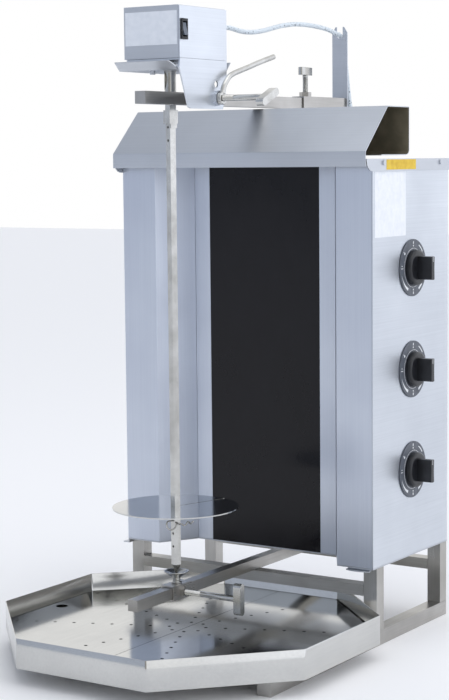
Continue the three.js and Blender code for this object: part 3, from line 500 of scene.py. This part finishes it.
SOFT_EDGES_MM = {
    DRAWN_TUBE: 1.4, DRAWN_TUBE_CROSS: 1.4, DRAWN_TUBE_UPRIGHT: 1.4, SATIN_SHEET: 0.45, LIT_SIDE_SHEET: 0.45,
    LEVEL_SHEET: 0.4, BRIGHT_BAR: 0.5, ROCKER_PLASTIC: 0.5, GLAND_RUBBER: 0.4, CASTING: 1.5, GLASS: 0.4,
}
SHARPEST_SOFTENED = math.radians(40)


def finish_plain_parts():
    for material, names in PLAIN_PARTS.items():
        for name in names:
            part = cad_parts[name]
            part.data.materials.clear()
            part.data.materials.append(material)
            width = SOFT_EDGES_MM.get(material)
            if not width:
                continue
            edge = part.modifiers.new("soft_edges", "BEVEL")
            edge.width = width * MM
            edge.segments = 2
            edge.limit_method = "ANGLE"
            edge.angle_limit = SHARPEST_SOFTENED
            edge.harden_normals = True


finish_plain_parts()

# ------------------------------------------------------------------ places taken from the model


def middle(node):
    """The middle of a node, in millimetres."""
    low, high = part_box(node)
    return [(a + b) / 2 / MM for a, b in zip(low, high)]


def low_high(node):
    low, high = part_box(node)
    return [a / MM for a in low], [a / MM for a in high]


SPIT_X, SPIT_Y, _ = middle("spit")
SPIT_TURN = math.radians(-18)

# ------------------------------------------------------------------ knobs and dials

BEZEL_RADIUS = 39.25
KNOB_RADIUS = 24.5


def arc_band(inner, outer, start, end, steps=14):
    """The outline of a curved band; angles in degrees, anticlockwise."""
    turns = [math.radians(start + (end - start) * i / steps) for i in range(steps + 1)]
    far = [(outer * math.cos(a), outer * math.sin(a)) for a in turns]
    near = [(inner * math.cos(a), inner * math.sin(a)) for a in reversed(turns)]
    return far + near


def tapered_band(inner, outer, start, end, steps=14):
    """A curved band that narrows to a point at its end, as dials use for more and less heat."""
    outline = []
    for i in range(steps + 1):
        a = math.radians(start + (end - start) * i / steps)
        outline.append((outer * math.cos(a), outer * math.sin(a)))
    for i in reversed(range(steps)):
        a = math.radians(start + (end - start) * i / steps)
        near = inner + (outer - inner) * i / steps
        outline.append((near * math.cos(a), near * math.sin(a)))
    return outline


def spot(radius, angle, size):
    """A small round dot on a dial."""
    a = math.radians(angle)
    x, y = radius * math.cos(a), radius * math.sin(a)
    return [(x + size * math.cos(k * math.pi / 6), y + size * math.sin(k * math.pi / 6)) for k in range(12)]


def dash(radius, angle, length, width):
    """A short straight mark that points to the dial's middle."""
    a = math.radians(angle)
    out = Vector((math.cos(a), math.sin(a)))
    side = Vector((-out.y, out.x)) * (width / 2)
    near, far = out * (radius - length / 2), out * (radius + length / 2)
    return [near - side, far - side, far + side, near + side]


def dial_marks():
    """Plain marks: a thin ring, two marks at the top and the bottom, and bands at the sides.

    On a plate drawn towards +X the first direction is down and the second is back, so up is 180 degrees.
    """
    marks = [arc_band(26.4, 27.0, 0.0, 178.0, 30), arc_band(26.4, 27.0, 180.0, 358.0, 30)]
    for up_or_down in (180, 0):
        marks += [dash(34.5, up_or_down, 3.4, 2.2), dash(30.2, up_or_down, 2.2, 2.2)]
    marks += [tapered_band(31.0, 35.0, -28, -74), arc_band(33.5, 35.0, 128, 152), spot(32.0, 118, 1.3)]
    marks += [arc_band(32.0, 35.0, 28, 48, 8), spot(32.5, -128, 1.8), dash(35.0, -128, 3.0, 1.2)]
    marks += [dash(33.0, -90, 5.5, 1.0), dash(33.5, -96, 3.0, 1.0)]
    return marks


def dial(number, body):
    low, high = low_high(f"knob_bezel_{number}")
    at = (low[0], (low[1] + high[1]) / 2, (low[2] + high[2]) / 2)
    thick = high[0] - low[0]
    edge = 0.35
    profile = [(6.2, 0), (BEZEL_RADIUS - edge, 0), (BEZEL_RADIUS, edge), (BEZEL_RADIUS, thick - edge),
               (BEZEL_RADIUS - edge, thick), (6.2, thick)]
    finish_piece(f"dial_plate_{number}", ring_mesh(f"dial_plate_{number}", profile, "x", at, 96), DIAL_FILM,
                 "frame", [f"knob_bezel_{number}"])
    shape = bmesh.new()
    for outline in dial_marks():
        slab(outline, thick - 0.05, thick + 0.12, "x", at, edge=0, shape=shape)
    finish_piece(f"dial_marks_{number}", from_bmesh("marks", shape), DIAL_INK, "frame")
    knob(number, body, (high[0] + 0.3, at[1], at[2]))


def ring_mesh(name, profile, axis, at, sides=64):
    """A ring turned from a closed profile of (radius, height) pairs."""
    matrix = Matrix.Translation(Vector(at) * MM) @ axes_to(axis)
    rings = [[matrix @ (p * MM) for p in circle(radius, height, sides)] for radius, height in profile]
    shape = bmesh.new()
    rows = [[shape.verts.new(p) for p in ring] for ring in rings]
    for row, after in zip(rows, rows[1:] + rows[:1]):
        for i in range(sides):
            j = (i + 1) % sides
            shape.faces.new((row[i], row[j], after[j], after[i]))
    return from_bmesh(name, shape)


def knob(number, body, at):
    """A moulded knob: a round base with a dished top and an upright grip bar across it."""
    _, high = low_high(f"knob_{number}")
    depth = high[0] - at[0]
    profile = [(3.6, 0), (23.6, 0), (24.3, 0.5), (KNOB_RADIUS, 1.4), (24.2, 6.4), (23.6, 7.9), (22.4, 8.8),
               (20.5, 9.0), (9.0, 8.2), (3.6, 8.2)]
    shape = bmesh.new()
    mesh = ring_mesh("base", profile, "x", at, 72)
    shape.from_mesh(mesh)
    bpy.data.meshes.remove(mesh)
    grip = [(15.5, 4.2), (16.2, 0), (15.5, -4.2), (0, -3.7), (-15.5, -4.2), (-16.2, 0), (-15.5, 4.2), (0, 3.7)]
    slab(grip, 5.0, depth, "x", at, edge=1.3, shape=shape, steps=3)
    mesh = from_bmesh(f"knob_{number}_moulding", shape)
    finish_piece(f"knob_{number}_moulding", mesh, KNOB_PLASTIC, body, [f"knob_{number}"], 50)
    line = slab(rectangle(-15.6, -8.5, -0.45, 0.45), depth - 0.05, depth + 0.1, "x", at, edge=0)
    finish_piece(f"knob_{number}_pointer", from_bmesh("pointer", line), DIAL_INK, body)


for knob_number, knob_body in ((1, "knob_low"), (2, "knob_middle"), (3, "knob_high")):
    dial(knob_number, knob_body)

# ------------------------------------------------------------------ clamp screws and lever

THREAD_PITCH = 1.25
SCREW_RADIUS = 4.0
T_LENGTH = 42  # the flat bar across the end of each clamp screw
T_SIDE = 10
ARM_SCREW_LENGTH = 33.5


def clamp_screw(name, node, axis, at, length, threaded, turn, body):
    """A turned screw, threaded at its point, with a flat round-ended bar across its end."""
    profile = [(2.6, 0.0), (3.4, 0.8)]
    height = 1.2
    while height < threaded:
        profile += [(3.45, height), (SCREW_RADIUS, height + THREAD_PITCH / 2)]
        height += THREAD_PITCH
    profile += [(3.5, height), (SCREW_RADIUS, height + 0.6), (SCREW_RADIUS, length - 1.5), (3.7, length - 0.8)]
    shape = turned(profile, axis, at, 32)
    slab(stadium(T_LENGTH, T_SIDE), length - 1, length + T_SIDE, axis, at, edge=1.1, shape=shape,
         turn=turn, steps=3)
    return finish_piece(name, from_bmesh(name, shape), BRIGHT_BAR, body, [node], 40)


def clamp_screws():
    low, high = low_high("arm_screw")
    clamp_screw("arm_screw_turned", "arm_screw", "z", (0, middle("arm_screw")[1], low[2]),
                ARM_SCREW_LENGTH, 28, math.radians(12), "arm_screw")
    low, high = low_high("bracket_screw")
    where = middle("bracket_screw")
    clamp_screw("bracket_screw_turned", "bracket_screw", "x", (low[0], where[1], where[2]),
                high[0] - low[0] - T_SIDE, 40, math.radians(24), "bracket_screw")
    low, high = low_high("bearing_screw")
    where = middle("bearing_screw")
    clamp_screw("bearing_screw_turned", "bearing_screw", "x", (low[0], where[1], where[2]),
                high[0] - low[0] - T_SIDE, 30, math.radians(90), "bearing_screw")


clamp_screws()


LEVER_RADIUS = 3.5


def lever():
    """A round bar bent twice, with a flattened eye at its foot."""
    low, high = low_high("lever")
    across = (low[0] + high[0]) / 2
    screw = middle("bracket_screw")
    y, z = screw[1], screw[2]
    route = [(0, 6), (2.5, 12), (6, 18), (16, 27.5), (26, 32), (38, 35.4), (60, 41), (92, 49.5), (127, 58)]
    line = smooth_path([Vector((across, y + a, z + b)) * MM for a, b in route], 6)
    shape = swept(line, LEVER_RADIUS * MM, 24)
    rim = [e for e in shape.edges if e.calc_face_angle(0) > math.radians(60)]
    bmesh.ops.bevel(shape, geom=rim, offset=0.8 * MM, segments=2, affect="EDGES")
    profile = [(4.4, 0), (7.7, 0), (8.5, 0.8), (8.5, 5.2), (7.7, 6), (4.4, 6)]
    eye = ring_mesh("eye", profile, "x", (low[0], y, z), 48)
    shape.from_mesh(eye)
    bpy.data.meshes.remove(eye)
    finish_piece("bent_lever", from_bmesh("bent_lever", shape), BRIGHT_BAR, "lever", ["lever"], 40)


lever()

# ------------------------------------------------------------------ spit, disc, clip and bearing cup


def at_spit(point, height):
    """A point (x, y) beside the spit, turned as the spit stands, in metres."""
    return (Matrix.Rotation(SPIT_TURN, 4, "Z") @ Vector((*point, 0)) + Vector((SPIT_X, SPIT_Y, height))) * MM


def meat_disc():
    """A thin mirror-rolled disc, cut along one radius to the square hole for the spit."""
    low, high = low_high("meat_disc")
    radius = (high[0] - low[0]) / 2
    slit, hole, sides = 1.2, 4.8, 140
    sheet = 1.5
    start = math.asin(slit / radius)
    outline = []
    for i in range(sides + 1):
        a = math.pi / 2 + start + (2 * math.pi - 2 * start) * i / sides
        outline.append((radius * math.cos(a), radius * math.sin(a)))
    outline += [(slit, hole), (hole, hole), (hole, -hole), (-hole, -hole), (-hole, hole), (-slit, hole)]
    top = high[2]
    shape = slab(outline, top - sheet, top, "z", (SPIT_X, SPIT_Y, 0), edge=0.3, turn=SPIT_TURN)
    hub = [(8.5, 8.5), (-8.5, 8.5), (-8.5, -8.5), (8.5, -8.5)]
    inner = [(hole, hole), (-hole, hole), (-hole, -hole), (hole, -hole)]
    rings = []
    under = top - sheet + 0.1
    for outline_points, height in ((hub, low[2]), (hub, under), (inner, under), (inner, low[2])):
        rings.append([at_spit(p, height) for p in outline_points])
    rows = [[shape.verts.new(p) for p in ring] for ring in rings]
    for row, after in zip(rows, rows[1:] + rows[:1]):
        for i in range(4):
            j = (i + 1) % 4
            shape.faces.new((row[i], row[j], after[j], after[i]))
    mesh = from_bmesh("meat_disc_sheet", shape)
    finish_piece("meat_disc_sheet", mesh, MIRROR_SHEET, "disc", ["meat_disc"], 30)


meat_disc()


CLIP_WIRE_RADIUS = 1.0


def spring_clip():
    """A spring-wire clip: a straight leg through the spit, an eye, and a wavy leg beside it."""
    z = low_high("spring_clip")[1][2] - CLIP_WIRE_RADIUS
    route = [(0, 34, 0), (0, 22, 0), (0, 10, 0), (0, -4, 0), (0, -9, -0.3)]
    for i in range(9):
        a = math.pi / 2 - (i / 8) * 1.55 * math.pi
        route.append(((i / 8) * 9.5, -12 - 5.2 * math.cos(a), -5.5 + 5.2 * math.sin(a)))
    route += [(9.3, 0, -3.5), (9.3, 8, -7), (8.5, 14, -3), (6, 20, -7), (4.5, 26, -4.5)]
    line = smooth_path([at_spit((x, y), z + h) for x, y, h in route], 6)
    mesh = from_bmesh("spring_clip_wire", swept(line, CLIP_WIRE_RADIUS * MM, 12))
    finish_piece("spring_clip_wire", mesh, BRIGHT_BAR, "spit", ["spring_clip"], 60)


spring_clip()


def bearing_cup():
    """A turned funnel on a short neck, with a rolled rim; the spit's point turns in it."""
    low, high = low_high("bearing_cup")
    base, top = low[2], high[2]
    profile = [(0.02, base), (6.6, base), (7, base + 0.4), (7, base + 1.7), (6.6, base + 2.1),
               (5.0, base + 2.5), (4.9, base + 7.0), (5.6, base + 8.2), (9, base + 10.0),
               (15.8, top - 1.6), (16.6, top - 1.1), (16.9, top - 0.6), (16.6, top - 0.1), (15.8, top),
               (14.9, top - 0.5), (3.2, base + 11.6), (0.02, base + 10.6)]
    shape = turned(profile, "z", (SPIT_X, SPIT_Y, 0), 72)
    mesh = from_bmesh("bearing_cup_turned", shape)
    finish_piece("bearing_cup_turned", mesh, BRIGHT_BAR, "bearing", ["bearing_cup"], 40)


bearing_cup()

# ------------------------------------------------------------------ drip tray


def rounded_corners(points, radius, steps=5):
    """A closed outline with its corners rounded."""
    out = []
    count = len(points)
    for i, here in enumerate(points):
        here = Vector(here)
        before = (Vector(points[i - 1]) - here).normalized()
        after = (Vector(points[(i + 1) % count]) - here).normalized()
        half = before.angle(after) / 2
        cut = radius / math.tan(half)
        centre = here + (before + after).normalized() * (radius / math.sin(half))
        a = here + before * cut - centre
        b = here + after * cut - centre
        turn = math.atan2(a.x * b.y - a.y * b.x, a.dot(b))
        for k in range(steps + 1):
            angle = turn * k / steps
            c, s = math.cos(angle), math.sin(angle)
            out.append((centre.x + a.x * c - a.y * s, centre.y + a.x * s + a.y * c))
    return out


def shrunk(points, distance):
    """A closed outline, given anticlockwise, moved inwards."""
    count = len(points)
    out = []
    for i, here in enumerate(points):
        here = Vector(here)
        into = (here - Vector(points[i - 1])).normalized()
        onward = (Vector(points[(i + 1) % count]) - here).normalized()
        left_in, left_on = Vector((-into.y, into.x)), Vector((-onward.y, onward.x))
        mean = (left_in + left_on).normalized()
        moved = here + mean * (distance / mean.dot(left_in))
        out.append((moved.x, moved.y))
    return out


TRAY_BACK_HALF = 96  # half the width of the straight stretch at the back
TRAY_BACK_CORNER = 138  # depth of the two slanting corners at the back
TRAY_FRONT_HALF = 100.5
TRAY_FRONT_CORNER = 144.5


def drip_tray():
    """A tray of mirror-rolled sheet with a plain rounded edge at the top."""
    low, high = low_high("drip_tray")
    half, front, back = high[0], low[1], high[1]
    side_back, side_front = back - TRAY_BACK_CORNER, front + TRAY_FRONT_CORNER
    plan = [(-TRAY_BACK_HALF, back), (-half, side_back), (-half, side_front), (-TRAY_FRONT_HALF, front),
            (TRAY_FRONT_HALF, front), (half, side_front), (half, side_back), (TRAY_BACK_HALF, back)]
    floor, rim = low[2], high[2]
    section = [(3.0, floor), (1.0, floor + 0.1), (0.3, floor + 0.6), (0.0, floor + 1.6), (0.0, rim - 0.5),
               (0.2, rim - 0.12), (0.6, rim), (1.0, rim - 0.12), (1.2, rim - 0.5), (1.2, floor + 2.6),
               (1.5, floor + 1.7), (2.6, floor + 1.25), (5.0, floor + 1.2)]
    rings = []
    for inwards, height in section:
        outline = rounded_corners(shrunk(plan, inwards), 4.5 - min(inwards, 2.9))
        rings.append([Vector((x, y, height)) * MM for x, y in outline])
    mesh = from_bmesh("drip_tray_sheet", loft(rings))
    finish_piece("drip_tray_sheet", mesh, MIRROR_SHEET, "tray", ["drip_tray"], 35)


drip_tray()

# ------------------------------------------------------------------ hood

HOOD_SHEET = 1.2
HOOD_FOOT_RISE = 14.5  # the foot above the lower edge of the front lip
HOOD_RIDGE_Y = 85  # where the level top meets the slope
HOOD_SLOPE = 60  # how far the slope drops


def hood():
    """A folded hood, open at both ends: satin outside; inside dull and brown, partly from heat and partly
    painted shade.
    """
    low, high = low_high("hood")
    lip_y, back_y, top, bottom = low[1], high[1], high[2], low[2]
    foot = bottom + HOOD_FOOT_RISE
    line = [(67, foot), (138, foot), (144, foot + 1.5), (back_y, foot + 5.5), (back_y, top),
            (HOOD_RIDGE_Y, top), (lip_y, top - HOOD_SLOPE), (lip_y, bottom)]
    outer = open_fillet(line, 1.8)
    inner = open_offset(outer, HOOD_SHEET)
    shape = bmesh.new()
    rows = []
    for x in (low[0], high[0]):
        rows.append([[shape.verts.new(Vector((x, y, z)) * MM) for y, z in side] for side in (outer, inner)])
    last = len(outer) - 1
    inside = []
    for i in range(last):
        (out_a, in_a), (out_b, in_b) = rows
        shape.faces.new((out_a[i], out_b[i], out_b[i + 1], out_a[i + 1]))
        inside.append(shape.faces.new((in_a[i], in_a[i + 1], in_b[i + 1], in_b[i])))
        shape.faces.new((out_a[i], out_a[i + 1], in_a[i + 1], in_a[i]))
        shape.faces.new((out_b[i], in_b[i], in_b[i + 1], out_b[i + 1]))
    for i in (0, last):
        shape.faces.new((rows[0][0][i], rows[0][1][i], rows[1][1][i], rows[1][0][i]))
    for face in inside:
        face.material_index = 1
    for x in (-120, 120):
        slab(rectangle(x - 10, x + 10, 80, 130), foot - 4.2, foot + 0.3, "z", (0, 0, 0), edge=0.3, shape=shape)
    mesh = from_bmesh("hood_sheet", shape)
    piece = finish_piece("hood_sheet", mesh, LEVEL_SHEET, "frame", ["hood"], 30)
    # The inside faces take the heat-tinted sheet, whose darker colour is partly painted shade.
    piece.data.materials.append(HOT_STEEL_AND_SHADE)


def open_fillet(points, radius, steps=4):
    """An open line with its bends rounded."""
    out = [points[0]]
    for a, here, b in zip(points, points[1:], points[2:]):
        here = Vector(here)
        before, after = (Vector(a) - here).normalized(), (Vector(b) - here).normalized()
        half = before.angle(after) / 2
        cut = radius / math.tan(half)
        centre = here + (before + after).normalized() * (radius / math.sin(half))
        start, end = here + before * cut - centre, here + after * cut - centre
        turn = math.atan2(start.x * end.y - start.y * end.x, start.dot(end))
        for k in range(steps + 1):
            c, s = math.cos(turn * k / steps), math.sin(turn * k / steps)
            out.append((centre.x + start.x * c - start.y * s, centre.y + start.x * s + start.y * c))
    return out + [points[-1]]


def open_offset(points, distance):
    """An open line moved to its left."""
    out = []
    for i, here in enumerate(points):
        here = Vector(here)
        into = (here - Vector(points[i - 1])).normalized() if i else None
        onward = (Vector(points[i + 1]) - here).normalized() if i < len(points) - 1 else None
        into, onward = into or onward, onward or into
        left_in, left_on = Vector((-into.y, into.x)), Vector((-onward.y, onward.x))
        mean = (left_in + left_on).normalized()
        moved = here + mean * (distance / mean.dot(left_in))
        out.append((moved.x, moved.y))
    return out


hood()

# ------------------------------------------------------------------ glands and nuts


def glands():
    for node, body, start in (("motor_gland", "top_arm", -2.2), ("cable_gland", "frame", -3.7)):
        low, high = low_high(node)
        x, _, z = middle(node)
        wide = (high[0] - low[0]) / 2
        neck = wide - 2.4
        wall = low[1] - start + 0.3
        end = high[1] - wall
        profile = [(3.5, start), (neck, start), (neck, 0.3), (wide - 0.5, 0.3), (wide, 0.9), (wide, 2.7),
                   (wide - 0.6, 3.3), (neck, 3.4), (neck - 0.2, end - 1.0), (neck - 1.0, end), (3.5, end)]
        mesh = ring_mesh(f"{node}_rubber", profile, "y", (x, wall, z), 40)
        finish_piece(f"{node}_rubber", mesh, GLAND_RUBBER, body, [node], 40)
    low, high = low_high("mains_gland")
    x, _, z = middle("mains_gland")
    length = high[1] - low[1]
    profile = [(4.3, 0), (8, 0), (8, 4.2), (11.3, 4.3), (11.8, 4.9), (11.8, 9.4), (11.2, 10), (8.4, 10.2)]
    for i in range(5):
        profile += [(8.2 - 0.3 * i, 11.2 + 2.4 * i), (7.3 - 0.3 * i, 12.0 + 2.4 * i)]
    profile += [(6.4, length - 1.2), (5.6, length), (4.3, length)]
    mesh = ring_mesh("mains_gland_nylon", profile, "y", (x, low[1], z), 48)
    finish_piece("mains_gland_nylon", mesh, GLAND_RUBBER, "frame", ["mains_gland"], 40)


glands()

# ------------------------------------------------------------------ labels and small trim


def label(name, outline, axis, at, material, body, thick=0.18):
    mesh = from_bmesh(name, slab(outline, 0, thick, axis, at, edge=0))
    finish_piece(name, mesh, material, body)


def labels():
    low, high = low_high("motor_cover")
    # The plate on the motor's front is drawn towards +Y and stands 0.18 mm in front of the sheet.
    label("motor_plate", rectangle(-41, 39, -(high[2] - 7), -(high[2] - 49)), "y", (0, low[1] - 0.2, 0),
          LABEL_WHITE, "top_arm")
    _, lid_high = low_high("lid")
    label("lid_label", rectangle(-(lid_high[2] - 1), -(lid_high[2] - 14.5), 80, 165), "x",
          (lid_high[0] - 2.0, 0, 0), LABEL_YELLOW, "frame")
    _, panel = low_high("knob_panel")
    label("side_sheet", rectangle(-640, -553, 50.5, 138.5), "x", (panel[0] + 0.02, 0, 0), LABEL_PAPER, "frame")


labels()

# ------------------------------------------------------------------ floor and light


def plain_surface(name, hex_value, roughness):
    material, _, surface = new_material(name, {"Roughness": roughness})
    surface.inputs["Base Color"].default_value = colour(hex_value)
    return material


def stage():
    mesh = bpy.data.meshes.new("floor")
    size = 12
    corners = [(-size, -size, 0), (size, -size, 0), (size, size, 0), (-size, size, 0)]
    mesh.from_pydata(corners, [], [(0, 1, 2, 3)])
    mesh.materials.append(plain_surface("pale_floor", "#fbfbfc", 0.7))
    floor = bpy.data.objects.new("floor", mesh)
    floor.location.z = -0.0004
    bpy.context.scene.collection.objects.link(floor)


def soft_light(name, at, towards, size, power, hex_value="#ffffff"):
    data = bpy.data.lights.new(name, "AREA")
    data.shape = "RECTANGLE"
    data.size, data.size_y = size
    data.energy = power
    data.color = colour(hex_value)[:3]
    lamp = bpy.data.objects.new(name, data)
    lamp.location = at
    lamp.rotation_euler = (Vector(towards) - Vector(at)).to_track_quat("-Z", "Y").to_euler()
    bpy.context.scene.collection.objects.link(lamp)


def surround(tree, base, towards, hex_value, strength, narrow, wide):
    """Mixes a broad patch of light into the studio's surround, in one direction."""
    way = add(tree, "ShaderNodeTexCoord").outputs["Generated"]
    settings = {"operation": "DOT_PRODUCT", 1: Vector(towards).normalized()}
    dot = add(tree, "ShaderNodeVectorMath", settings, {0: way})
    limits = {"interpolation_type": "SMOOTHSTEP", "From Min": wide, "From Max": narrow}
    amount = add(tree, "ShaderNodeMapRange", limits, {"Value": dot.outputs["Value"]}).outputs[0]
    patch = Vector(colour(hex_value)[:3]) * strength
    return add(tree, "ShaderNodeMix", {"data_type": "VECTOR", 5: patch}, {0: amount, 4: base}).outputs[1]


def studio():
    """White walls all round, greyer and cooler in front on the left, brighter on the right."""
    world = bpy.data.worlds.new("studio")
    bpy.context.scene.world = world
    world.use_nodes = True
    tree = world.node_tree
    white = add(tree, "ShaderNodeCombineXYZ", {0: 1.0, 1: 1.0, 2: 1.0}).outputs[0]
    walls = surround(tree, white, (0.85, 0.3, 0.1), "#f4f7ff", 1.5, 0.9, 0.3)
    walls = surround(tree, walls, (-0.55, -0.2, 0.8), "#b9bec8", 1.0, 0.92, 0.55)
    walls = surround(tree, walls, (-0.5, -0.85, 0.1), "#bfc8d9", 1.0, 0.85, 0.45)
    walls = surround(tree, walls, (0.25, -0.95, 0.0), "#a9a8a4", 1.0, 0.98, 0.86)
    tree.links.new(walls, tree.nodes["Background"].inputs["Color"])
    tree.nodes["Background"].inputs["Strength"].default_value = 1.0
    middle_point = (0, 0, 0.45)
    soft_light("top_light", (0.2, -0.2, 2.8), middle_point, (1.8, 1.8), 12)
    bpy.context.scene.view_settings.view_transform = "Standard"


stage()
studio()
